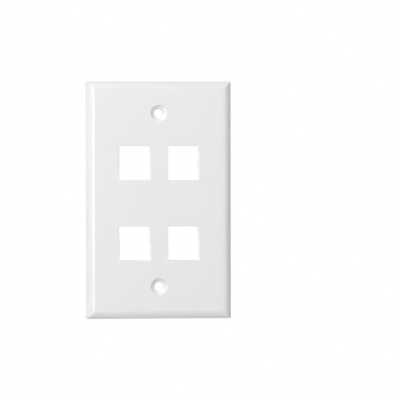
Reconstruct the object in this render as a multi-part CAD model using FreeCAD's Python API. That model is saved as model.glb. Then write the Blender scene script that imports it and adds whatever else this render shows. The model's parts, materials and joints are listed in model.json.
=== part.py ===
"""Four-port keystone faceplate for a single-gang wall box, moulded in one piece.

Frame: the plate is on the wall. X runs to the right, Z up, and the front faces -Y.
The origin is on the wall plane, midway between the two screw holes. All sizes are in mm.
"""
import FreeCAD, Part
import math
import os

from FreeCAD import Vector

# ---- plate ----
PLATE_WIDTH = 69.85         # 2.75 in
PLATE_HEIGHT = 114.3        # 4.5 in
PLATE_DEPTH = 5.6           # wall plane to front face
SKIN = 2.0                  # thickness behind the front face
RIM_WALL = 1.8              # thickness of the rim where it meets the wall
CORNER_RADIUS = 0.5         # outline corners, seen from the front
CAVITY_CORNER = 1.2         # inside corners of the rim

# ---- bevel round the front: an arc that leaves the face at a low angle and steepens ----
BEVEL_WIDTH = 4.15
BEVEL_START = math.radians(6.0)     # slope from the face plane, at the face
BEVEL_END = math.radians(52.0)      # and at the side wall
SIDE_DRAFT = 0.12                   # how far the side wall leans in over its height
CAVITY_DRAFT = 0.08

# ---- screw holes ----
SCREW_SPACING = 83.34       # 3.281 in, the spacing of a device box
SCREW_HOLE_RADIUS = 2.2
SINK_RADIUS = 4.2           # at the front face
SINK_LIP = 0.15             # rounding of the sink's edge
SINK_STEEP = math.radians(50.0)     # slope of the dished seat at its edge
SINK_SHALLOW = math.radians(25.0)   # and beside the screw hole
BOSS_RADIUS = 4.7           # at the wall plane
BOSS_DRAFT = 0.25

# ---- keystone ports ----
PORT_WIDTH = 14.8
PORT_HEIGHT = 16.4
PORT_CORNER = 0.35
PORT_EDGE = 0.25            # rounding where a port meets the front face
COLUMN_PITCH = 23.5
ROW_PITCH = 38.7
ROWS_BELOW_CENTRE = 1.5     # the taller latch side is above each port

# ---- frame behind each port; depths are measured back from the front face ----
FRAME_DEPTH = 9.9           # rear of both catch bars
BAR_FRONT = 8.2             # front of both catch bars
BAR_HEIGHT = 3.5
GUIDE_WALL = 1.5            # low walls above and below the port
LATCH_WALL_DEPTH = 4.0      # upper guide wall stops here, to leave room for the latch
HOOK_WALL_DEPTH = 6.5       # lower guide wall stops here, to leave a slot for the hook
LATCH_CLEARANCE = 2.0       # upper bar stands this far above the port
LEAD_IN = 0.8               # chamfer on the rear edge of each bar
CHEEK = 1.5
CHEEK_SETBACK = 0.4         # cheeks stand this far outside the port's sides
CHEEK_DRAFT = 0.15
CHEEK_CORNER = 1.2

# ---- spine and ejector marks on the hidden side ----
SPINE_ROOT = 1.2
SPINE_CREST = 0.8
SPINE_DEPTH = 4.4           # from the front face to the spine's crest
EJECTOR_RADIUS = 2.0
EJECTOR_MARK = 0.12
EJECTOR_X = 30.0
EJECTOR_ROWS = (-46.0, -16.0, 16.0, 46.0)

OVERRUN = 1.0               # how far a cutter runs past what it cuts
BITE = 0.2                  # how far a joined form runs into the skin

HALF_WIDTH = PLATE_WIDTH / 2
HALF_HEIGHT = PLATE_HEIGHT / 2
PORT_COLUMNS = (-COLUMN_PITCH / 2, COLUMN_PITCH / 2)
PORT_ROWS = (-ROWS_BELOW_CENTRE - ROW_PITCH / 2, -ROWS_BELOW_CENTRE + ROW_PITCH / 2)
SCREW_HEIGHTS = (-SCREW_SPACING / 2, SCREW_SPACING / 2)
BEVEL_RADIUS = (BEVEL_WIDTH - SIDE_DRAFT) / (math.sin(BEVEL_END) - math.sin(BEVEL_START))


def y_at(depth):
    """Y of a plane this far behind the front face."""
    return depth - PLATE_DEPTH


ARC_CENTRE_Y = y_at(0) + BEVEL_RADIUS * math.cos(BEVEL_START)
ARC_CENTRE_INSET = BEVEL_WIDTH + BEVEL_RADIUS * math.sin(BEVEL_START)
CAVITY_Y = y_at(SKIN)


def extruded(outline, span, along, middle=0.0):
    """A closed outline extruded along X or Z, half the span each way from the middle.

    outline(place) gives edges, and place(u, y) puts a point of the section in space:
    u is X in a section extruded along Z, and Z in a section extruded along X.
    """
    start = middle - span / 2
    if along == "Z":
        wire = Part.Wire(outline(lambda u, y: Vector(u, y, start)))
        return Part.Face(wire).extrude(Vector(0, 0, span))
    wire = Part.Wire(outline(lambda u, y: Vector(start, y, u)))
    return Part.Face(wire).extrude(Vector(span, 0, 0))


def polygon(points):
    """Outline of straight edges through (u, y) points."""
    def outline(place):
        corners = [place(u, y) for u, y in points]
        return Part.makePolygon(corners + corners[:1]).Edges
    return outline


def tray(foot, arc_u, radius, low, high):
    """Outline of a tray: side walls from the wall plane, an arc at each side, a flat front.

    The walls stand at foot from the middle, and the arcs' centres at arc_u. The arcs
    run from slope high at the wall to slope low at the front.
    """
    def on_arc(side, angle):
        return side * (arc_u + radius * math.sin(angle)), ARC_CENTRE_Y - radius * math.cos(angle)

    def outline(place):
        middle = (low + high) / 2
        left = [place(*on_arc(-1, a)) for a in (high, middle, low)]
        right = [place(*on_arc(1, a)) for a in (low, middle, high)]
        foot_left, foot_right = place(-foot, 0), place(foot, 0)
        return [
            Part.makeLine(foot_left, left[0]),
            Part.Arc(*left).toShape(),
            Part.makeLine(left[2], right[0]),
            Part.Arc(*right).toShape(),
            Part.makeLine(right[2], foot_right),
            Part.makeLine(foot_right, foot_left),
        ]
    return outline


def rounded_block(width, height, radius, y_low, y_high, x=0.0, z=0.0):
    """A block about (x, z) with its four edges along Y rounded."""
    corner = Vector(x - width / 2, y_low, z - height / 2)
    block = Part.makeBox(width, y_high - y_low, height, corner)
    along_y = [e for e in block.Edges if abs(e.tangentAt(e.FirstParameter).y) > 0.99]
    return block.makeFillet(radius, along_y)


def outer_body():
    """The solid inside the plate's front: two crossed bevelled prisms, which mitre its corners."""
    def prism(half, span, along):
        arc_u = half - ARC_CENTRE_INSET
        return extruded(tray(half, arc_u, BEVEL_RADIUS, BEVEL_START, BEVEL_END), span, along)
    corners = rounded_block(PLATE_WIDTH, PLATE_HEIGHT, CORNER_RADIUS, y_at(-OVERRUN), OVERRUN)
    upright = prism(HALF_WIDTH, PLATE_HEIGHT, "Z")
    level = prism(HALF_HEIGHT, PLATE_WIDTH, "X")
    return upright.common(level).common(corners)


def cavity():
    """The hollow behind the skin, of the same form as the front, with the rim round it."""
    radius = ARC_CENTRE_Y - CAVITY_Y

    def prism(half, span, along):
        arc_u = half - ARC_CENTRE_INSET
        foot = half - RIM_WALL
        high = math.asin((foot - CAVITY_DRAFT - arc_u) / radius)
        return extruded(tray(foot, arc_u, radius, 0.0, high), span, along)
    inner_width, inner_height = PLATE_WIDTH - 2 * RIM_WALL, PLATE_HEIGHT - 2 * RIM_WALL
    corners = rounded_block(inner_width, inner_height, CAVITY_CORNER, y_at(0), OVERRUN)
    upright = prism(HALF_WIDTH, inner_height, "Z")
    level = prism(HALF_HEIGHT, inner_width, "X")
    return upright.common(level).common(corners)


def spine():
    """The tapered rib that runs down the middle of the hollow, through both bosses."""
    root_y, crest_y = CAVITY_Y - BITE, y_at(SPINE_DEPTH)
    section = polygon([
        (-SPINE_ROOT / 2, root_y),
        (SPINE_ROOT / 2, root_y),
        (SPINE_CREST / 2, crest_y),
        (-SPINE_CREST / 2, crest_y),
    ])
    return extruded(section, PLATE_HEIGHT - 2 * RIM_WALL + 2 * BITE, "Z")


def boss(height):
    """The drafted post behind a screw hole, as deep as the rim."""
    length = BITE - CAVITY_Y
    root = Vector(0, CAVITY_Y - BITE, height)
    return Part.makeCone(BOSS_RADIUS + BOSS_DRAFT, BOSS_RADIUS, length, root, Vector(0, 1, 0))


def screw_cutter(height):
    """The screw hole with its dished seat, as one turned form about the screw's axis."""
    lip_reach = SINK_LIP * math.sin(SINK_STEEP)
    lip_drop = SINK_LIP * (1 - math.cos(SINK_STEEP))
    edge_r, edge_s = SINK_RADIUS - lip_reach, lip_drop
    seat_radius = (edge_r - SCREW_HOLE_RADIUS) / (math.sin(SINK_STEEP) - math.sin(SINK_SHALLOW))
    centre_r = edge_r - seat_radius * math.sin(SINK_STEEP)
    centre_s = edge_s - seat_radius * math.cos(SINK_STEEP)

    def place(r, depth):
        return Vector(r, y_at(depth), height)

    def on_lip(angle):
        return place(SINK_RADIUS - SINK_LIP * math.sin(angle), SINK_LIP * (1 - math.cos(angle)))

    def on_seat(angle):
        r = centre_r + seat_radius * math.sin(angle)
        return place(r, centre_s + seat_radius * math.cos(angle))

    halfway = (SINK_STEEP + SINK_SHALLOW) / 2
    lip = [on_lip(a) for a in (0.0, SINK_STEEP / 2, SINK_STEEP)]
    seat = [on_seat(a) for a in (SINK_STEEP, halfway, SINK_SHALLOW)]
    past_wall = PLATE_DEPTH + OVERRUN
    front_axis, front_edge = place(0, -OVERRUN), place(SINK_RADIUS, -OVERRUN)
    rear_edge, rear_axis = place(SCREW_HOLE_RADIUS, past_wall), place(0, past_wall)
    wire = Part.Wire([
        Part.makeLine(front_axis, front_edge),
        Part.makeLine(front_edge, lip[0]),
        Part.Arc(*lip).toShape(),
        Part.Arc(*seat).toShape(),
        Part.makeLine(seat[2], rear_edge),
        Part.makeLine(rear_edge, rear_axis),
        Part.makeLine(rear_axis, front_axis),
    ])
    return Part.Face(wire).revolve(Vector(0, 0, height), Vector(0, 1, 0), 360)


def frame_top(row):
    return row + PORT_HEIGHT / 2 + LATCH_CLEARANCE + BAR_HEIGHT


def frame_bottom(row):
    return row - PORT_HEIGHT / 2 - BAR_HEIGHT


def port_frame(column, row):
    """The catch frame behind a port: two cheeks joined by guide walls and two catch bars.

    The jack's fixed hook goes into the slot over the lower bar, and its spring latch
    snaps in front of the upper bar.
    """
    root_y, rear_y = CAVITY_Y - BITE, y_at(FRAME_DEPTH)
    top, bottom = frame_top(row), frame_bottom(row)
    inner_rear = PORT_WIDTH / 2 + CHEEK_SETBACK + CHEEK_DRAFT
    inner_root = PORT_WIDTH / 2 + CHEEK_SETBACK
    outer_rear = inner_rear + CHEEK
    outer_root = outer_rear + 2 * CHEEK_DRAFT

    side_view = polygon([
        (bottom - 2 * CHEEK_DRAFT, root_y), (top + 2 * CHEEK_DRAFT, root_y),
        (top, rear_y), (bottom, rear_y),
    ])
    block = extruded(side_view, 2 * outer_root, "X", column)
    along_x = [e for e in block.Edges if abs(e.tangentAt(e.FirstParameter).x) > 0.99]
    rear_edges = [e for e in along_x if e.BoundBox.YMin > rear_y - 0.01]
    block = block.makeFillet(CHEEK_CORNER, rear_edges)
    plan = polygon([
        (column - outer_root, root_y), (column + outer_root, root_y),
        (column + outer_rear, rear_y), (column - outer_rear, rear_y),
    ])
    block = block.common(extruded(plan, 2 * (top - bottom), "Z", row))

    port_low, port_high = row - PORT_HEIGHT / 2, row + PORT_HEIGHT / 2
    latch_edge = port_high + LATCH_CLEARANCE
    above, below = top + OVERRUN, bottom - OVERRUN
    front, past_rear = y_at(SKIN) - OVERRUN, rear_y + OVERRUN
    bar_y, chamfer_y = y_at(BAR_FRONT), rear_y - LEAD_IN
    open_side_view = polygon([
        (port_low, front),
        (port_low, y_at(HOOK_WALL_DEPTH)),
        (port_low - GUIDE_WALL, y_at(HOOK_WALL_DEPTH)),
        (port_low - GUIDE_WALL, CAVITY_Y),
        (below, CAVITY_Y),
        (below, bar_y),
        (port_low, bar_y),
        (port_low, chamfer_y),
        (port_low - LEAD_IN, rear_y),
        (port_low - LEAD_IN, past_rear),
        (latch_edge + LEAD_IN, past_rear),
        (latch_edge + LEAD_IN, rear_y),
        (latch_edge, chamfer_y),
        (latch_edge, bar_y),
        (above, bar_y),
        (above, CAVITY_Y),
        (port_high + GUIDE_WALL, CAVITY_Y),
        (port_high + GUIDE_WALL, y_at(LATCH_WALL_DEPTH)),
        (port_high, y_at(LATCH_WALL_DEPTH)),
        (port_high, front),
    ])
    open_plan = polygon([
        (column - inner_root, front), (column + inner_root, front),
        (column + inner_root, CAVITY_Y), (column + inner_rear, rear_y),
        (column + inner_rear, past_rear), (column - inner_rear, past_rear),
        (column - inner_rear, rear_y), (column - inner_root, CAVITY_Y),
    ])
    hollow = extruded(open_side_view, 2 * outer_root, "X", column)
    hollow = hollow.common(extruded(open_plan, 2 * (above - below), "Z", row))
    return block.cut(hollow)


def ejector_marks():
    """Shallow round marks left by the ejector pins on the inside of the skin."""
    start, depth = CAVITY_Y - EJECTOR_MARK, EJECTOR_MARK + OVERRUN
    places = [Vector(side * EJECTOR_X, start, z) for side in (-1, 1) for z in EJECTOR_ROWS]
    return [Part.makeCylinder(EJECTOR_RADIUS, depth, at, Vector(0, 1, 0)) for at in places]


def round_port_edges(shell):
    """Round each port's edge where it meets the front face."""
    reach_x = COLUMN_PITCH / 2 + PORT_WIDTH / 2 + 0.1
    reach_z = max(abs(row) for row in PORT_ROWS) + PORT_HEIGHT / 2 + 0.1
    rim = []
    for edge in shell.Edges:
        box = edge.BoundBox
        on_face = abs(box.YMin - y_at(0)) < 1e-4 and abs(box.YMax - y_at(0)) < 1e-4
        if on_face and abs(box.Center.x) < reach_x and abs(box.Center.z) < reach_z:
            rim.append(edge)
    return shell.makeFillet(PORT_EDGE, rim)


def faceplate():
    shell = outer_body().cut(cavity())
    for column in PORT_COLUMNS:
        for row in PORT_ROWS:
            cut_from = y_at(-OVERRUN)
            port = rounded_block(PORT_WIDTH, PORT_HEIGHT, PORT_CORNER, cut_from, 0.0, column, row)
            shell = shell.cut(port)
    shell = round_port_edges(shell)
    frames = [port_frame(column, row) for column in PORT_COLUMNS for row in PORT_ROWS]
    bosses = [boss(height) for height in SCREW_HEIGHTS]
    shell = shell.cut(ejector_marks())
    shell = shell.fuse(frames + bosses + [spine()])
    shell = shell.cut([screw_cutter(height) for height in SCREW_HEIGHTS])
    return shell.removeSplitter()


os.makedirs("parts", exist_ok=True)
plate = faceplate()
assert plate.isValid() and len(plate.Solids) == 1
plate.Solids[0].exportStep("parts/faceplate.step")
print("volume %.0f mm3, faces %d" % (plate.Volume, len(plate.Faces)))
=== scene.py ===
"""Dresses the keystone faceplate: the moulded plate, its white plastic and a plain studio.

Metres throughout. X runs to the right, Z up, and the front of the plate faces -Y.
"""
import json
import math
from contextlib import contextmanager

import bmesh
import bpy
from bpy.props import FloatProperty, FloatVectorProperty, IntProperty, PointerProperty
from mathutils import Matrix, Vector


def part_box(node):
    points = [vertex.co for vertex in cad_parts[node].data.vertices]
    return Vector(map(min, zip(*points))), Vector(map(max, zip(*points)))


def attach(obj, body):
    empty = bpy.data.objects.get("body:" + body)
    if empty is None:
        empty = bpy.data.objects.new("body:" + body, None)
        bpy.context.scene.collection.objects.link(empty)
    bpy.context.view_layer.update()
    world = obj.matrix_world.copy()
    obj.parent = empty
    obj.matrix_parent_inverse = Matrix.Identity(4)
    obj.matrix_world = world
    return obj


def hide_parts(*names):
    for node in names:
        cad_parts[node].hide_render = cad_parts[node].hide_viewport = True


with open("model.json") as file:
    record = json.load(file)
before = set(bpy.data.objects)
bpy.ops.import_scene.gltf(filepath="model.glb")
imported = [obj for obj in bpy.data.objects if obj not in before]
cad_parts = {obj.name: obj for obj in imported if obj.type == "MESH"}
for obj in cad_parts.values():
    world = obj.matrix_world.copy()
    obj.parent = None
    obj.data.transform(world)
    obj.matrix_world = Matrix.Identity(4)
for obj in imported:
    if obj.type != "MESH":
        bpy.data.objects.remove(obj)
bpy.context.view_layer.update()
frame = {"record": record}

bl_info = {
    "name": "Keystone faceplate",
    "version": (1, 0, 0),
    "blender": (4, 5, 0),
    "location": "View3D > Sidebar > Faceplate",
    "description": "Models a keystone wall plate in white plastic and lights it in a plain studio",
    "category": "Object",
}

MM = 0.001
OVERRUN = 1.0 * MM       # how far a cutter reaches past what it cuts
BITE = 0.2 * MM          # how far an added form reaches into what it grows from
HAIR = 0.1 * MM          # a distance that is too small to see
SQUARE = 0.999           # least cosine of what counts as square to an axis, or along it
NODE = "faceplate"
PLATE = "moulded_faceplate"
PLASTIC = "white_plastic"
NODE_LOW, NODE_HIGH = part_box(NODE)
MOUNTS = {mount["name"]: mount for mount in frame["record"]["mounts"]}
SCREWS = MOUNTS["screw_holes"]["dims"]
PORT_CENTRES = [
    Vector(mount["pos_m"]) for name, mount in sorted(MOUNTS.items()) if name.startswith("port_")
]
# The dark grains caught in the front, each as X, Z and radius in millimetres.
GRAINS = (
    (-1.2, -9.5, 0.22), (-28.0, 16.3, 0.14), (-28.8, 13.4, 0.12), (-27.1, -23.1, 0.14),
    (7.3, -42.0, 0.13), (14.3, -51.4, 0.15), (1.9, -6.7, 0.12), (18.0, -55.4, 0.16),
)


def length(name, description, default):
    """A length property, in metres."""
    return FloatProperty(
        name=name, description=description, default=default, unit="LENGTH", precision=5
    )


def millimetres(name, description, default):
    """A camera's own length property, which is in millimetres."""
    return FloatProperty(
        name=name, description=description, default=default, min=1.0, unit="CAMERA"
    )


def angle(name, description, degrees):
    """An angle property, in radians, whose default is given in degrees."""
    return FloatProperty(
        name=name, description=description, default=math.radians(degrees), subtype="ANGLE"
    )


def power(name, description, watts):
    """A lamp's power property, in watts."""
    return FloatProperty(name=name, description=description, default=watts, min=0.0, unit="POWER")


def share(name, description, default):
    """A property from 0 to 1."""
    return FloatProperty(
        name=name, description=description, default=default, min=0.0, max=1.0, subtype="FACTOR"
    )


def facets(name, description, default):
    """A property for how many flat facets stand for a round form."""
    return IntProperty(name=name, description=description, default=default, min=1)


def colour(name, description, default):
    """A linear colour property."""
    return FloatVectorProperty(
        name=name, description=description, default=default, min=0.0, max=1.0, subtype="COLOR"
    )


class FaceplateShell(bpy.types.PropertyGroup):
    """Sizes of the bevelled plate and its hollow back."""

    width: length("Width", "Outline, left to right", NODE_HIGH.x - NODE_LOW.x)
    height: length("Height", "Outline, bottom to top", NODE_HIGH.z - NODE_LOW.z)
    depth: length("Depth", "Wall plane to front face", -NODE_LOW.y)
    skin: length("Skin", "Thickness behind the front face", 2.0 * MM)
    rim_wall: length("Rim wall", "Thickness of the rim at the wall", 1.8 * MM)
    bevel_width: length("Bevel width", "Width of the curved bevel, seen from the front", 4.15 * MM)
    bevel_start: angle("Bevel start", "Slope of the bevel beside the face", 6.0)
    bevel_end: angle("Bevel end", "Slope of the bevel beside the side wall", 52.0)
    side_draft: length("Side draft", "How far the side wall leans in", 0.12 * MM)
    cavity_draft: length("Cavity draft", "How far the inside of the rim leans in", 0.08 * MM)
    corner: length("Outline corner", "Radius of the outline's corners", 0.5 * MM)
    cavity_corner: length("Inside corner", "Radius of the rim's inside corners", 1.2 * MM)
    arc_steps: facets("Bevel facets", "Facets across the bevel", 12)
    corner_steps: facets("Corner facets", "Facets round a corner of the outline", 5)
    cavity_corner_steps: facets("Inside corner facets", "Facets round an inside corner", 8)
    smooth: angle("Smoothing", "Edges that turn less than this are shaded smooth", 28.0)


class FaceplatePorts(bpy.types.PropertyGroup):
    """Sizes of a port and of the catch frame behind it. Depths are behind the front face."""

    width: length("Width", "Clear width of a port", 14.8 * MM)
    height: length("Height", "Clear height of a port", 16.4 * MM)
    corner: length("Corner", "Radius of a port's corners", 0.35 * MM)
    edge: length("Edge", "Rounding where a port meets the front face", 0.25 * MM)
    rear: length("Rear", "Depth of the frame's rear", NODE_HIGH.y - NODE_LOW.y)
    bar_front: length("Bar front", "Depth of the catch bars' front", 8.2 * MM)
    bar_height: length("Bar height", "Height of a catch bar", 3.5 * MM)
    guide: length("Guide wall", "Thickness of the walls above and below a port", 1.5 * MM)
    latch_wall: length("Latch wall", "Depth of the upper guide wall", 4.0 * MM)
    hook_wall: length("Hook wall", "Depth of the lower guide wall", 6.5 * MM)
    latch_room: length("Latch room", "Gap between a port and its upper bar", 2.0 * MM)
    lead_in: length("Lead-in", "Chamfer on the rear edge of a bar", 0.8 * MM)
    cheek: length("Cheek", "Thickness of a side cheek", 1.5 * MM)
    setback: length("Setback", "Cheeks stand this far outside the port", 0.4 * MM)
    draft: length("Draft", "How far a cheek leans over its depth", 0.15 * MM)
    cheek_corner: length("Cheek corner", "Radius of the frame's rear corners", 1.2 * MM)
    corner_steps: facets("Corner facets", "Facets round a corner of a port", 4)
    edge_steps: facets("Edge facets", "Facets across the rounding at the front face", 5)
    cheek_corner_steps: facets("Cheek facets", "Facets round a rear corner of the frame", 6)


class FaceplateSeats(bpy.types.PropertyGroup):
    """Sizes of a screw hole, its dished seat and its boss."""

    spacing: length("Spacing", "Between the screw holes", SCREWS["spacing_y_mm"] * MM)
    hole: length("Hole", "Radius of the screw hole", SCREWS["hole_r_mm"] * MM)
    radius: length("Seat", "Radius of the dished seat at the face", 4.2 * MM)
    lip: length("Lip", "Rounding of the seat's edge", 0.15 * MM)
    steep: angle("Steep", "Slope of the seat at its edge", 50.0)
    shallow: angle("Shallow", "Slope of the seat towards the hole", 25.0)
    hole_edge: length("Hole edge", "Rounding where the seat meets the hole", 0.12 * MM)
    boss: length("Boss", "Radius of the boss at the wall plane", 4.7 * MM)
    boss_draft: length("Boss draft", "How much wider the boss is at its root", 0.25 * MM)
    hole_edge_steps: facets("Hole edge facets", "Facets across the rounding at the hole", 6)
    dish_steps: facets("Dish facets", "Facets across the dish", 8)
    lip_steps: facets("Lip facets", "Facets across the rounding at the face", 4)
    sides: facets("Sides", "Facets round the seat and the boss", 72)


class FaceplateInside(bpy.types.PropertyGroup):
    """Sizes of the spine and the ejector marks on the hidden side."""

    spine_root: length("Spine root", "Width of the spine at the skin", 1.2 * MM)
    spine_crest: length("Spine crest", "Width of the spine at its crest", 0.8 * MM)
    spine_depth: length("Spine depth", "Front face to the spine's crest", 4.4 * MM)
    pin_radius: length("Pin radius", "Radius of an ejector pin's mark", 2.0 * MM)
    pin_mark: length("Pin mark", "Depth of an ejector pin's mark", 0.12 * MM)
    pin_sides: facets("Pin sides", "Facets round an ejector pin's mark", 40)
    pin_column: length("Pin column", "Ejector marks stand this far from the middle", 30.0 * MM)
    pin_rows: FloatVectorProperty(
        name="Pin rows", description="Heights of the ejector marks", size=4, subtype="XYZ_LENGTH",
        default=(-46 * MM, -16 * MM, 16 * MM, 46 * MM),
    )


class FaceplateFinish(bpy.types.PropertyGroup):
    """Colours, gloss and fine relief of the plastic."""

    plastic: colour("Plastic", "White of the moulding", (0.838, 0.838, 0.842))
    uneven: share("Unevenness", "Share by which the white strays to either side", 0.012)
    cloud: length("Clouds", "Size of the broad clouds in the white", 14 * MM)
    fine_cloud: length("Fine clouds", "Size of the fine clouds in the white", 2.2 * MM)
    speck: colour("Speck", "Dark grains caught in the surface", (0.30, 0.27, 0.24))
    speck_height: length("Speck height", "How far a grain stands out", 0.02 * MM)
    gloss: share("Front roughness", "Roughness of the polished front", 0.13)
    core: share("Inside roughness", "Roughness of the hidden side", 0.42)
    blend: length("Blend", "Width over which one roughness turns into the other", 0.2 * MM)
    haze: share("Haze", "Spread of the roughness in broad patches", 0.08)
    haze_size: length("Haze size", "Size of the broad patches", 9 * MM)
    fine_haze: share("Fine haze", "Spread of the roughness in fine patches", 0.06)
    fine_haze_size: length("Fine haze size", "Size of the fine patches", 0.7 * MM)
    wave: length("Waviness", "Height of the waves left by the moulding", 0.006 * MM)
    wave_size: length("Wave size", "Width of those waves", 5 * MM)
    grain: length("Grain", "Height of the inside's spark-eroded grain", 0.03 * MM)
    front_grain: length("Front grain", "What the polish has left of the grain", 0.0008 * MM)
    grain_size: length("Grain size", "Width of the grain", 0.3 * MM)


class FaceplateStudio(bpy.types.PropertyGroup):
    """Camera, floor and lamps."""

    azimuth: angle("Azimuth", "Camera's angle round the plate, from straight ahead", -5.3)
    elevation: angle("Elevation", "Camera's angle above the horizon", 0.15)
    distance: length("Distance", "Camera to plate", 1.410)
    turn: angle("Turn", "How far the camera is turned right, off the plate", 0.820)
    roll: angle("Roll", "How far the camera leans", -0.08)
    lens: millimetres("Lens", "Focal length", 263.0)
    sensor: millimetres("Sensor", "Width of the sensor", 36.0)
    drop: length("Drop", "Floor below the plate's lower edge", 0.26)
    floor_radius: length("Floor radius", "Radius of the round floor", 1.1)
    floor_white: share("Floor white", "White of the floor", 0.86)
    glow_start: length("Glow start", "The floor's glow grows from this far out", 0.35)
    glow_end: length("Glow end", "The floor's glow is full from this far out", 1.05)
    glow_near: share("Near glow", "Strength of the glow under the plate", 0.5)
    glow_far: share("Far glow", "Strength of the glow towards the floor's edge", 0.9)
    ambient: FloatProperty(name="Ambient", description="Plain light from all sides", default=0.20)
    key: power("Key", "Main softbox, above and to the left", 5.7)
    strip: power("Strip", "Softbox to the left, which the left bevel reflects", 4.8)
    fill: power("Fill", "Softbox to the right", 1.1)
    rear: power("Rear", "Narrow softbox behind the plate", 0.4)


GROUPS = {
    "faceplate_shell": FaceplateShell,
    "faceplate_ports": FaceplatePorts,
    "faceplate_seats": FaceplateSeats,
    "faceplate_inside": FaceplateInside,
    "faceplate_finish": FaceplateFinish,
    "faceplate_studio": FaceplateStudio,
}


# ---------------------------------------------------------------- modelling by operators


def pick(obj):
    """Select obj alone and make it active."""
    bpy.ops.object.select_all(action="DESELECT")
    obj.select_set(True)
    bpy.context.view_layer.objects.active = obj


@contextmanager
def editing(obj):
    """Edit mode on obj with nothing selected."""
    pick(obj)
    bpy.ops.object.mode_set(mode="EDIT")
    bpy.ops.mesh.select_all(action="DESELECT")
    yield
    bpy.ops.object.mode_set(mode="OBJECT")


def select(obj, kind, wanted):
    """In edit mode, select only the faces or edges that pass the test wanted(element)."""
    bpy.ops.mesh.select_mode(type={"faces": "FACE", "edges": "EDGE"}[kind])
    bpy.ops.mesh.select_all(action="DESELECT")
    mesh = bmesh.from_edit_mesh(obj.data)
    chosen = [element for element in getattr(mesh, kind) if wanted(element)]
    if not chosen:
        raise RuntimeError(f"{obj.name}: no {kind} found to shape")
    for element in chosen:
        element.select_set(True)
    mesh.select_flush_mode()
    bmesh.update_edit_mesh(obj.data)


def faces_front(face):
    return face.normal.y < -SQUARE


def faces_back(face):
    return face.normal.y > SQUARE


def along(edge, axis):
    """Whether an edge runs along an axis: 0 is X, 1 is Y, 2 is Z."""
    run = edge.verts[1].co - edge.verts[0].co
    return abs(run[axis]) > SQUARE * run.length


def settled(name):
    """The new primitive, named, with its place put into its mesh."""
    bpy.ops.object.transform_apply(location=True, rotation=True, scale=True)
    bpy.context.object.name = name
    return bpy.context.object


def block(name, low, high):
    """A cuboid between two corners."""
    low, high = Vector(low), Vector(high)
    bpy.ops.object.select_all(action="DESELECT")
    bpy.ops.mesh.primitive_cube_add(
        size=1, calc_uvs=False, location=(low + high) / 2, scale=high - low
    )
    return settled(name)


def post(name, sides, front_radius, back_radius, front, back):
    """A cylinder or cone about the Y axis, from Y front to Y back."""
    bpy.ops.object.select_all(action="DESELECT")
    bpy.ops.mesh.primitive_cone_add(
        vertices=sides, radius1=front_radius, radius2=back_radius, depth=back - front,
        location=(0, (front + back) / 2, 0), rotation=(-math.pi / 2, 0, 0), calc_uvs=False,
    )
    return settled(name)


def draw_out(distance):
    """Extrude what is selected along Y."""
    bpy.ops.mesh.extrude_region_move(
        TRANSFORM_OT_translate={"value": (0, distance, 0), "orient_type": "GLOBAL"}
    )


def resize(before, after, centre):
    """Resize what is selected, from one pair of X and Z half sizes to another."""
    factors = (after[0] / before[0], 1, after[1] / before[1])
    bpy.ops.transform.resize(value=factors, center_override=centre)


def round_uprights(obj, radius, segments):
    """Round a block's four edges along Y."""
    with editing(obj):
        select(obj, "edges", lambda edge: along(edge, 1))
        bpy.ops.mesh.bevel(offset=radius, segments=segments, affect="EDGES")


def flare(obj, half, y, stations):
    """Draw a cutter's front end forward from Y through (Y, growth of its half sizes) stations."""
    with editing(obj):
        select(obj, "faces", faces_front)
        growth = 0.0
        for next_y, next_growth in stations:
            draw_out(next_y - y)
            if next_growth != growth:
                before = (half[0] + growth, half[1] + growth)
                after = (half[0] + next_growth, half[1] + next_growth)
                resize(before, after, (0, next_y, 0))
            y, growth = next_y, next_growth


def combine(obj, tools, operation):
    """Join, cut or intersect obj with other closed solids, which are used up."""
    pick(obj)
    for tool in tools:
        modifier = obj.modifiers.new(tool.name, "BOOLEAN")
        modifier.operation = operation
        modifier.solver = "EXACT"
        modifier.object = tool
        bpy.ops.object.modifier_apply(modifier=modifier.name)
        bpy.data.meshes.remove(tool.data)


def slopes(first, last, steps):
    """Even steps from one slope to another, without the first."""
    return [first + (last - first) * step / steps for step in range(1, steps + 1)]


def inset_along_arc(radius, high, low, steps):
    """Inset the selected face step by step forward along an arc, from slope high to slope low."""
    slope = high
    for next_slope in slopes(high, low, steps):
        bpy.ops.mesh.inset(
            thickness=radius * (math.sin(slope) - math.sin(next_slope)),
            depth=radius * (math.cos(next_slope) - math.cos(slope)),
        )
        slope = next_slope


def copies_at(obj, places):
    """Copies of obj, one moved to each (X, Z), each with its own mesh. Obj is used up."""
    copies = []
    for x, z in places:
        copy = obj.copy()
        copy.data = obj.data.copy()
        bpy.context.collection.objects.link(copy)
        copy.data.transform(Matrix.Translation((x, 0, z)))
        copies.append(copy)
    bpy.data.meshes.remove(obj.data)
    return copies


# ---------------------------------------------------------------- the pieces


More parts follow.
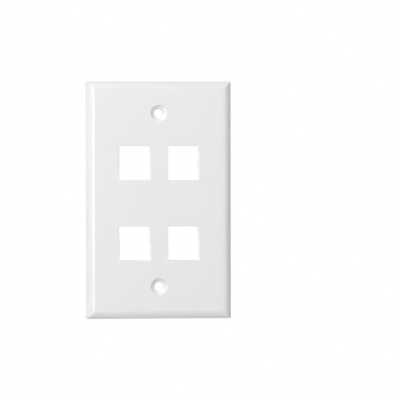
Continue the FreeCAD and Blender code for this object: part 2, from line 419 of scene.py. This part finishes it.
class MESH_OT_faceplate_shell(bpy.types.Operator):
    """Model the bevelled plate and its hollow back"""

    bl_idname = "mesh.faceplate_shell"
    bl_label = "Bevelled shell"

    def execute(self, context):
        shell = context.scene.faceplate_shell
        half = (shell.width / 2, shell.height / 2)
        rise = math.sin(shell.bevel_end) - math.sin(shell.bevel_start)
        radius = (shell.bevel_width - shell.side_draft) / rise
        arc_inset = shell.bevel_width + radius * math.sin(shell.bevel_start)
        arc_y = -shell.depth + radius * math.cos(shell.bevel_start)
        arc = (radius, shell.bevel_end, shell.bevel_start, shell.arc_steps)
        plate = self.tray(PLATE, half, arc_y, arc, shell.side_draft)
        self.round_corners(plate, half, shell.corner, shell.corner_steps)

        inner = (half[0] - shell.rim_wall, half[1] - shell.rim_wall)
        inner_radius = arc_y + shell.depth - shell.skin
        reach = arc_inset - shell.rim_wall - shell.cavity_draft
        arc = (inner_radius, math.asin(reach / inner_radius), 0.0, shell.arc_steps)
        hollow = self.tray("hollow", inner, arc_y, arc, shell.cavity_draft)
        self.round_corners(hollow, inner, shell.cavity_corner, shell.cavity_corner_steps)
        with editing(hollow):
            select(hollow, "faces", faces_back)
            draw_out(OVERRUN)
        combine(plate, [hollow], "DIFFERENCE")
        return {"FINISHED"}

    def tray(self, name, half, arc_y, arc, draft):
        """A block from the wall plane whose front is drawn in along an arc on every side."""
        radius, high, low, steps = arc
        wall_top = arc_y - radius * math.cos(high)
        tray = block(name, (-half[0], wall_top, -half[1]), (half[0], 0, half[1]))
        with editing(tray):
            select(tray, "faces", faces_front)
            resize(half, (half[0] - draft, half[1] - draft), (0, 0, 0))
            inset_along_arc(radius, high, low, steps)
        return tray

    def round_corners(self, tray, half, radius, segments):
        """Round a tray's outline by intersecting it with a rounded block."""
        deep = 10 * OVERRUN
        outline = block("outline", (-half[0], -deep, -half[1]), (half[0], deep, half[1]))
        round_uprights(outline, radius, segments)
        combine(tray, [outline], "INTERSECT")


class MESH_OT_faceplate_ports(bpy.types.Operator):
    """Cut the ports and set a catch frame behind each"""

    bl_idname = "mesh.faceplate_ports"
    bl_label = "Ports and catch frames"

    def execute(self, context):
        shell, port = context.scene.faceplate_shell, context.scene.faceplate_ports
        plate = bpy.data.objects[PLATE]
        places = [(centre.x, centre.z) for centre in PORT_CENTRES]
        combine(plate, copies_at(self.port_cutter(shell, port), places), "DIFFERENCE")
        catch = self.frame_block(shell, port)
        combine(catch, [self.jack_room(shell, port)], "DIFFERENCE")
        combine(plate, copies_at(catch, places), "UNION")
        return {"FINISHED"}

    def port_cutter(self, shell, port):
        """What cuts a port in the skin: a block with rounded corners and a flared mouth."""
        half = (port.width / 2, port.height / 2)
        start = -shell.depth + port.edge
        cutter = block("port_cutter", (-half[0], start, -half[1]), (half[0], 0, half[1]))
        round_uprights(cutter, port.corner, port.corner_steps)
        stations = []
        for turn in slopes(0, math.pi / 2, port.edge_steps):
            forward, growth = math.sin(turn), 1 - math.cos(turn)
            stations.append((start - port.edge * forward, port.edge * growth))
        stations.append((-shell.depth - OVERRUN, port.edge))
        flare(cutter, half, start, stations)
        return cutter

    def frame_block(self, shell, port):
        """The drafted block that a catch frame is cut from, with its rear corners rounded."""
        low = -port.height / 2 - port.bar_height
        high = port.height / 2 + port.latch_room + port.bar_height
        root, rear = -shell.depth + shell.skin - BITE, -shell.depth + port.rear
        outer = port.width / 2 + port.setback + port.draft + port.cheek
        body = block("catch_frame", (-outer, root, low), (outer, rear, high))
        half = (outer, (high - low) / 2)
        with editing(body):
            select(body, "faces", faces_front)
            grown = (half[0] + 2 * port.draft, half[1] + 2 * port.draft)
            resize(half, grown, (0, root, (low + high) / 2))
            select(body, "edges", lambda e: along(e, 0) and e.verts[0].co.y > rear - HAIR)
            bpy.ops.mesh.bevel(
                offset=port.cheek_corner, segments=port.cheek_corner_steps, affect="EDGES"
            )
        return body

    def jack_room(self, shell, port):
        """The room a jack takes in a frame: tunnel, latch window and hook slot."""
        inside, rear = -shell.depth + shell.skin, -shell.depth + port.rear
        bar, latch_wall, hook_wall = [
            depth - shell.depth for depth in (port.bar_front, port.latch_wall, port.hook_wall)
        ]
        half, wide, above = port.height / 2, port.width, port.height
        top, chamfer_y = half + port.latch_room, rear - port.lead_in
        room = block("tunnel", (-wide, bar - OVERRUN / 2, -half), (wide, chamfer_y, top))
        with editing(room):
            select(room, "faces", faces_back)
            draw_out(port.lead_in)
            tall = (top + half) / 2
            resize((wide, tall), (wide, tall + port.lead_in), (0, rear, (top - half) / 2))
            draw_out(OVERRUN)
        pieces = [
            block("mouth", (-wide, inside - 2 * OVERRUN, -half), (wide, bar, half)),
            block("latch_window", (-wide, latch_wall, half - OVERRUN), (wide, bar, above)),
            block("over_guide", (-wide, inside, half + port.guide), (wide, bar, above)),
            block("hook_slot", (-wide, hook_wall, -above), (wide, bar, OVERRUN - half)),
            block("under_guide", (-wide, inside, -above), (wide, bar, -half - port.guide)),
        ]
        combine(room, pieces, "UNION")
        combine(room, [self.between_cheeks(port, inside, rear)], "INTERSECT")
        return room

    def between_cheeks(self, port, inside, rear):
        """The drafted block that fills the space between a frame's cheeks."""
        root, tall = port.width / 2 + port.setback, 2 * port.height
        space = block("between_cheeks", (-root, inside, -tall), (root, rear, tall))
        with editing(space):
            select(space, "faces", faces_front)
            draw_out(-OVERRUN)
            select(space, "faces", faces_back)
            resize((root, tall), (root + port.draft, tall), (0, rear, 0))
            draw_out(2 * OVERRUN)
        return space


class MESH_OT_faceplate_inside(bpy.types.Operator):
    """Add the spine and the ejector marks on the hidden side"""

    bl_idname = "mesh.faceplate_inside"
    bl_label = "Spine and ejector marks"

    def execute(self, context):
        shell, inside = context.scene.faceplate_shell, context.scene.faceplate_inside
        plate = bpy.data.objects[PLATE]
        skin = -shell.depth + shell.skin
        places = [(side * inside.pin_column, z) for side in (-1, 1) for z in inside.pin_rows]
        mark = post(
            "ejector_mark", inside.pin_sides, inside.pin_radius, inside.pin_radius,
            skin - inside.pin_mark, skin + OVERRUN,
        )
        combine(plate, copies_at(mark, places), "DIFFERENCE")

        reach = shell.height / 2 - shell.rim_wall + BITE
        half, crest = inside.spine_root / 2, inside.spine_depth - shell.depth
        spine = block("spine", (-half, skin - BITE, -reach), (half, crest, reach))
        with editing(spine):
            select(spine, "faces", faces_back)
            resize((half, reach), (inside.spine_crest / 2, reach), (0, crest, 0))
        combine(plate, [spine], "UNION")
        return {"FINISHED"}


class MESH_OT_faceplate_seats(bpy.types.Operator):
    """Add the screw bosses and turn out the dished seats and holes"""

    bl_idname = "mesh.faceplate_seats"
    bl_label = "Screw seats"

    def execute(self, context):
        shell, seat = context.scene.faceplate_shell, context.scene.faceplate_seats
        plate = bpy.data.objects[PLATE]
        places = [(0, side * seat.spacing / 2) for side in (-1, 1)]
        root = -shell.depth + shell.skin - BITE
        boss = post("boss", seat.sides, seat.boss + seat.boss_draft, seat.boss, root, 0)
        combine(plate, copies_at(boss, places), "UNION")
        combine(plate, copies_at(self.seat_cutter(shell, seat), places), "DIFFERENCE")
        return {"FINISHED"}

    def seat_cutter(self, shell, seat):
        """The screw hole with its rounded edge, the dish and the lip at the face, all turned."""
        outer = seat.radius - seat.lip * math.sin(seat.steep)
        inner = seat.hole + seat.hole_edge * (1 - math.sin(seat.shallow))
        dish = (outer - inner) / (math.sin(seat.steep) - math.sin(seat.shallow))
        centre_radius = outer - dish * math.sin(seat.steep)
        centre_depth = seat.lip * (1 - math.cos(seat.steep)) - dish * math.cos(seat.steep)
        dish_floor = centre_depth + dish * math.cos(seat.shallow)
        hole_depth = dish_floor + seat.hole_edge * math.cos(seat.shallow)
        profile = []
        for slope in slopes(math.pi / 2, seat.shallow, seat.hole_edge_steps):
            reach = seat.hole + seat.hole_edge * (1 - math.sin(slope))
            profile.append((hole_depth - seat.hole_edge * math.cos(slope), reach))
        for slope in slopes(seat.shallow, seat.steep, seat.dish_steps):
            reach = centre_radius + dish * math.sin(slope)
            profile.append((centre_depth + dish * math.cos(slope), reach))
        for slope in slopes(seat.steep, 0, seat.lip_steps):
            reach = seat.radius - seat.lip * math.sin(slope)
            profile.append((seat.lip * (1 - math.cos(slope)), reach))
        profile.append((-OVERRUN, seat.radius))
        stations = [(depth - shell.depth, reach - seat.hole) for depth, reach in profile]
        start = hole_depth - shell.depth
        cutter = post("seat_cutter", seat.sides, seat.hole, seat.hole, start, OVERRUN)
        flare(cutter, (seat.hole, seat.hole), start, stations)
        return cutter


class MESH_OT_faceplate_shading(bpy.types.Operator):
    """Merge the plate's points, crease its edges and smooth its curves"""

    bl_idname = "mesh.faceplate_shading"
    bl_label = "Edges and shading"

    def execute(self, context):
        shell = context.scene.faceplate_shell
        plate = bpy.data.objects[PLATE]
        with editing(plate):
            bpy.ops.mesh.select_all(action="SELECT")
            bpy.ops.mesh.remove_doubles(threshold=0.001 * MM)
            bpy.ops.mesh.normals_make_consistent(inside=False)
            select(plate, "edges", lambda edge: self.is_crease(edge, shell))
            bpy.ops.mesh.mark_sharp()
        bpy.ops.object.shade_smooth_by_angle(angle=shell.smooth, keep_sharp_edges=True)
        weighted = plate.modifiers.new("weighted_normals", "WEIGHTED_NORMAL")
        weighted.keep_sharp = True
        bpy.ops.object.modifier_apply(modifier=weighted.name)
        self.check_closed(plate)
        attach(plate, "root")
        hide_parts(NODE)
        return {"FINISHED"}

    def is_crease(self, edge, shell):
        """Whether an edge is on the line between face and bevel, or on a mitre."""
        near = 0.01 * MM
        ends = [vert.co for vert in edge.verts]
        if all(end.y < near - shell.depth for end in ends):
            flat = [faces_front(face) for face in edge.link_faces]
            return any(flat) and not all(flat)
        margins = [
            (shell.width / 2 - abs(end.x)) - (shell.height / 2 - abs(end.z)) for end in ends
        ]
        return all(abs(margin) < near for margin in margins)

    def check_closed(self, plate):
        """Stop the script if the plate isn't one closed solid with its faces outwards."""
        mesh = bmesh.new()
        mesh.from_mesh(plate.data)
        loose = sum(not edge.is_manifold for edge in mesh.edges)
        volume = mesh.calc_volume(signed=True) / MM ** 3
        mesh.free()
        print(f"{plate.name}: {len(plate.data.polygons)} faces, {volume:.0f} mm3, {loose} open")
        if loose or volume <= 0:
            raise RuntimeError(f"{plate.name} isn't a closed solid")


# ---------------------------------------------------------------- materials


class Value:
    """A node's output. Sums with it add their Math nodes."""

    def __init__(self, graph, socket):
        self.graph = graph
        self.socket = socket

    def __add__(self, other):
        return self.graph.maths("ADD", self, other)

    def __radd__(self, other):
        return self.graph.maths("ADD", other, self)

    def __sub__(self, other):
        return self.graph.maths("SUBTRACT", self, other)

    def __rsub__(self, other):
        return self.graph.maths("SUBTRACT", other, self)

    def __mul__(self, other):
        return self.graph.maths("MULTIPLY", self, other)

    def __rmul__(self, other):
        return self.graph.maths("MULTIPLY", other, self)

    def __abs__(self):
        return self.graph.maths("ABSOLUTE", self)

    def larger(self, other):
        return self.graph.maths("MAXIMUM", self, other)


class Graph:
    """The nodes of one material or of the world."""

    def __init__(self, owner):
        owner.use_nodes = True
        self.tree = owner.node_tree
        self.tree.nodes.clear()

    def node(self, kind, settings=(), sockets=(), output=0):
        """Add a node, set it up, feed its sockets, and give one output by number or name."""
        node = self.tree.nodes.new(kind)
        for name, value in dict(settings).items():
            setattr(node, name, value)
        for name, value in dict(sockets).items():
            if isinstance(value, Value):
                self.tree.links.new(value.socket, node.inputs[name])
            else:
                node.inputs[name].default_value = value
        return Value(self, node.outputs[output]) if len(node.outputs) else None

    def maths(self, operation, *values):
        """Add a Math node."""
        return self.node("ShaderNodeMath", {"operation": operation}, enumerate(values))

    def vector(self, operation, *vectors, output=0):
        """Add a Vector Math node, whose outputs are Vector and Value."""
        settings = {"operation": operation}
        return self.node("ShaderNodeVectorMath", settings, enumerate(vectors), output)

    def mix_colour(self, factor, first, second):
        """From the first colour at 0 to the second at 1. A Mix node takes them in 6 and 7."""
        settings = {"data_type": "RGBA"}
        return self.node("ShaderNodeMix", settings, {0: factor, 6: first, 7: second}, output=2)

    def noise(self, place, size, detail=2.0):
        """Cloudy noise about 0, from -0.5 to 0.5, whose clouds are about size metres wide."""
        sockets = {"Vector": place, "Scale": 1.0 / size, "Detail": detail, "Roughness": 0.55}
        return self.node("ShaderNodeTexNoise", sockets=sockets) - 0.5

    def ramp(self, value, low, high, to_low=0.0, to_high=1.0):
        """Value between low and high, smoothly taken to the range to_low to to_high."""
        return self.node("ShaderNodeMapRange", {"interpolation_type": "SMOOTHSTEP"}, {
            "Value": value,
            "From Min": low, "From Max": high,
            "To Min": to_low, "To Max": to_high,
        })


class MATERIAL_OT_faceplate_plastic(bpy.types.Operator):
    """Give the plate its white moulded plastic"""

    bl_idname = "material.faceplate_plastic"
    bl_label = "White plastic"

    def execute(self, context):
        shell, finish = context.scene.faceplate_shell, context.scene.faceplate_finish
        material = bpy.data.materials.new(PLASTIC)
        graph = Graph(material)
        place = graph.node("ShaderNodeTexCoord", output="Object")
        inside = self.inside(graph, place, shell, finish.blend)
        specks = self.specks(graph, place)
        shader = graph.node("ShaderNodeBsdfPrincipled", sockets={
            "Base Color": self.colour(graph, place, finish, specks),
            "Roughness": self.roughness(graph, place, finish, inside),
            "Normal": self.relief(graph, place, finish, inside, specks),
            "IOR": 1.49,
        })
        graph.node("ShaderNodeOutputMaterial", sockets={"Surface": shader})
        plate = bpy.data.objects[PLATE]
        plate.data.materials.clear()
        plate.data.materials.append(material)
        return {"FINISHED"}

    def inside(self, graph, place, shell, blend):
        """1 on the hidden side, which the mould's unpolished core forms, and 0 elsewhere."""
        axes = graph.node("ShaderNodeSeparateXYZ", sockets={"Vector": place}).socket.node.outputs
        x, y, z = [Value(graph, axis) for axis in axes]
        skin = shell.skin - shell.depth - HAIR
        behind = graph.ramp(y, skin - blend, skin)
        for side, size in ((x, shell.width), (z, shell.height)):
            wall = size / 2 - shell.rim_wall + HAIR / 2
            behind = behind * graph.ramp(abs(side), wall, wall + blend, 1.0, 0.0)
        return behind

    def specks(self, graph, place):
        """1 on the few fine grains caught in the front, and 0 beside them."""
        flat = graph.vector("MULTIPLY", place, (1, 0, 1))
        grains = None
        for x, z, radius in GRAINS:
            away = graph.vector("DISTANCE", flat, (x * MM, 0, z * MM), output="Value")
            grain = graph.ramp(away, radius / 2 * MM, radius * MM, 1.0, 0.0)
            grains = grain if grains is None else grains.larger(grain)
        return grains

    def colour(self, graph, place, finish, specks):
        """The white, a touch uneven as pigment is, with the grains in it."""
        clouds = graph.noise(place, finish.cloud) + graph.noise(place, finish.fine_cloud) * 0.5
        darker, lighter = [
            (*[level * scale for level in finish.plastic], 1.0)
            for scale in (1 - finish.uneven, 1 + finish.uneven)
        ]
        white = graph.mix_colour(clouds * 0.5 + 0.5, darker, lighter)
        return graph.mix_colour(specks, white, (*finish.speck, 1.0))

    def roughness(self, graph, place, finish, inside):
        """Polished outside with a faint haze, and plain tool finish inside."""
        broad = graph.noise(place, finish.haze_size, detail=3.0) * finish.haze
        fine = graph.noise(place, finish.fine_haze_size) * finish.fine_haze
        return broad + fine + finish.gloss + inside * (finish.core - finish.gloss)

    def relief(self, graph, place, finish, inside, specks):
        """The slight waviness of the moulding, and the spark-eroded grain of the inside."""
        wave = graph.noise(place, finish.wave_size, detail=1.0) * finish.wave
        depth = inside * finish.grain + finish.front_grain
        grain = graph.noise(place, finish.grain_size) * depth
        height = wave + grain + specks * finish.speck_height
        sockets = {"Height": height, "Distance": 1.0, "Strength": 1.0}
        return graph.node("ShaderNodeBump", sockets=sockets)


# ---------------------------------------------------------------- studio


def direction(azimuth, elevation):
    """Unit vector from the plate; azimuth 0 is straight ahead of its front."""
    level = math.cos(elevation)
    return Vector((
        math.sin(azimuth) * level, -math.cos(azimuth) * level, math.sin(elevation)
    ))


class SCENE_OT_faceplate_studio(bpy.types.Operator):
    """Set up the floor, the light and the camera"""

    bl_idname = "scene.faceplate_studio"
    bl_label = "Studio"

    def execute(self, context):
        studio, shell = context.scene.faceplate_studio, context.scene.faceplate_shell
        self.floor(studio, -shell.height / 2 - studio.drop)
        self.world(context.scene, studio)
        self.lamps(studio)
        self.camera(context.scene, studio)
        context.scene.view_settings.view_transform = "Standard"
        return {"FINISHED"}

    def seen(self, graph):
        """1 on what the camera, a reflection or clear glass shows, 0 where light is gathered."""
        outputs = graph.node("ShaderNodeLightPath").socket.node.outputs
        camera, glossy, clear = [
            Value(graph, outputs[name])
            for name in ("Is Camera Ray", "Is Glossy Ray", "Is Transmission Ray")
        ]
        return camera.larger(glossy).larger(clear)

    def floor(self, studio, z):
        """A round pale floor that fades into the white around it and keeps the shadow."""
        bpy.ops.object.select_all(action="DESELECT")
        bpy.ops.mesh.primitive_circle_add(
            vertices=96, radius=studio.floor_radius, fill_type="NGON", location=(0, 0, z),
            calc_uvs=False,
        )
        floor = settled("studio_floor")
        material = bpy.data.materials.new("pale_floor")
        graph = Graph(material)
        place = graph.node("ShaderNodeTexCoord", output="Object")
        away = graph.vector("LENGTH", place, output="Value")
        strength = self.seen(graph) * graph.ramp(
            away, studio.glow_start, studio.glow_end, studio.glow_near, studio.glow_far
        )
        glow = graph.node("ShaderNodeEmission", sockets={"Strength": strength})
        white = studio.floor_white
        sockets = {"Color": (white, white, white, 1.0)}
        matt = graph.node("ShaderNodeBsdfDiffuse", sockets=sockets)
        both = graph.node("ShaderNodeAddShader", sockets={0: matt, 1: glow})
        graph.node("ShaderNodeOutputMaterial", sockets={"Surface": both})
        floor.data.materials.append(material)

    def world(self, scene, studio):
        """Plain light from all sides, and white wherever it is seen."""
        world = bpy.data.worlds.new("pale_studio")
        scene.world = world
        graph = Graph(world)
        strength = self.seen(graph).larger(studio.ambient)
        sockets = {"Color": (1, 1, 1, 1), "Strength": strength}
        light = graph.node("ShaderNodeBackground", sockets=sockets)
        graph.node("ShaderNodeOutputWorld", sockets={"Surface": light})

    def lamps(self, studio):
        """The softboxes, by azimuth and elevation in degrees, width, height and power."""
        self.softbox("key_softbox", -32, 37, 0.75, 0.7, studio.key, away=0.9)
        self.softbox("strip_softbox", -25, 7, 0.55, 0.7, studio.strip)
        self.softbox("right_fill", 36, 2, 0.5, 0.5, studio.fill)
        self.softbox("rear_softbox", 150, 6, 0.5, 0.4, studio.rear, spread=30)
        self.softbox("rear_fill", -145, 4, 0.5, 0.4, studio.rear / 2, spread=30)

    def softbox(self, name, azimuth, elevation, width, height, watts, away=1.5, spread=180):
        """A rectangular lamp, some metres away and turned to the plate."""
        data = bpy.data.lights.new(name, "AREA")
        data.shape = "RECTANGLE"
        data.size, data.size_y, data.energy = width, height, watts
        data.spread = math.radians(spread)
        lamp = bpy.data.objects.new(name, data)
        towards = direction(math.radians(azimuth), math.radians(elevation))
        lamp.location = towards * away
        lamp.rotation_euler = (-towards).to_track_quat("-Z", "Y").to_euler()
        bpy.context.collection.objects.link(lamp)

    def camera(self, scene, studio):
        """The camera, turned off the plate and leaned as its settings say."""
        data = bpy.data.cameras.new("view")
        data.lens, data.sensor_width = studio.lens, studio.sensor
        camera = bpy.data.objects.new("view", data)
        away = direction(studio.azimuth, studio.elevation)
        camera.location = away * studio.distance
        look = Matrix.Rotation(-studio.turn, 3, "Z") @ -away
        turned = look.to_track_quat("-Z", "Y").to_matrix() @ Matrix.Rotation(studio.roll, 3, "Z")
        camera.rotation_euler = turned.to_euler()
        bpy.context.collection.objects.link(camera)
        scene.camera = camera


OPERATORS = (
    MESH_OT_faceplate_shell,
    MESH_OT_faceplate_ports,
    MESH_OT_faceplate_inside,
    MESH_OT_faceplate_seats,
    MESH_OT_faceplate_shading,
    MATERIAL_OT_faceplate_plastic,
    SCENE_OT_faceplate_studio,
)


class VIEW3D_PT_faceplate(bpy.types.Panel):
    """The faceplate's pieces and sizes"""

    bl_idname = "VIEW3D_PT_faceplate"
    bl_label = "Faceplate"
    bl_space_type = "VIEW_3D"
    bl_region_type = "UI"
    bl_category = "Faceplate"

    def draw(self, context):
        for operator in OPERATORS:
            self.layout.operator(operator.bl_idname)
        for name, group in GROUPS.items():
            column = self.layout.column(heading=name)
            for setting in group.__annotations__:
                column.prop(getattr(context.scene, name), setting)


def register():
    for group in (*GROUPS.values(), *OPERATORS, VIEW3D_PT_faceplate):
        bpy.utils.register_class(group)
    for name, group in GROUPS.items():
        setattr(bpy.types.Scene, name, PointerProperty(type=group))


def unregister():
    for name in GROUPS:
        delattr(bpy.types.Scene, name)
    for group in (VIEW3D_PT_faceplate, *reversed(OPERATORS), *GROUPS.values()):
        bpy.utils.unregister_class(group)


def main():
    register()
    bpy.ops.mesh.faceplate_shell()
    bpy.ops.mesh.faceplate_ports()
    bpy.ops.mesh.faceplate_inside()
    bpy.ops.mesh.faceplate_seats()
    bpy.ops.mesh.faceplate_shading()
    bpy.ops.material.faceplate_plastic()
    bpy.ops.scene.faceplate_studio()


if __name__ == "__main__":
    main()
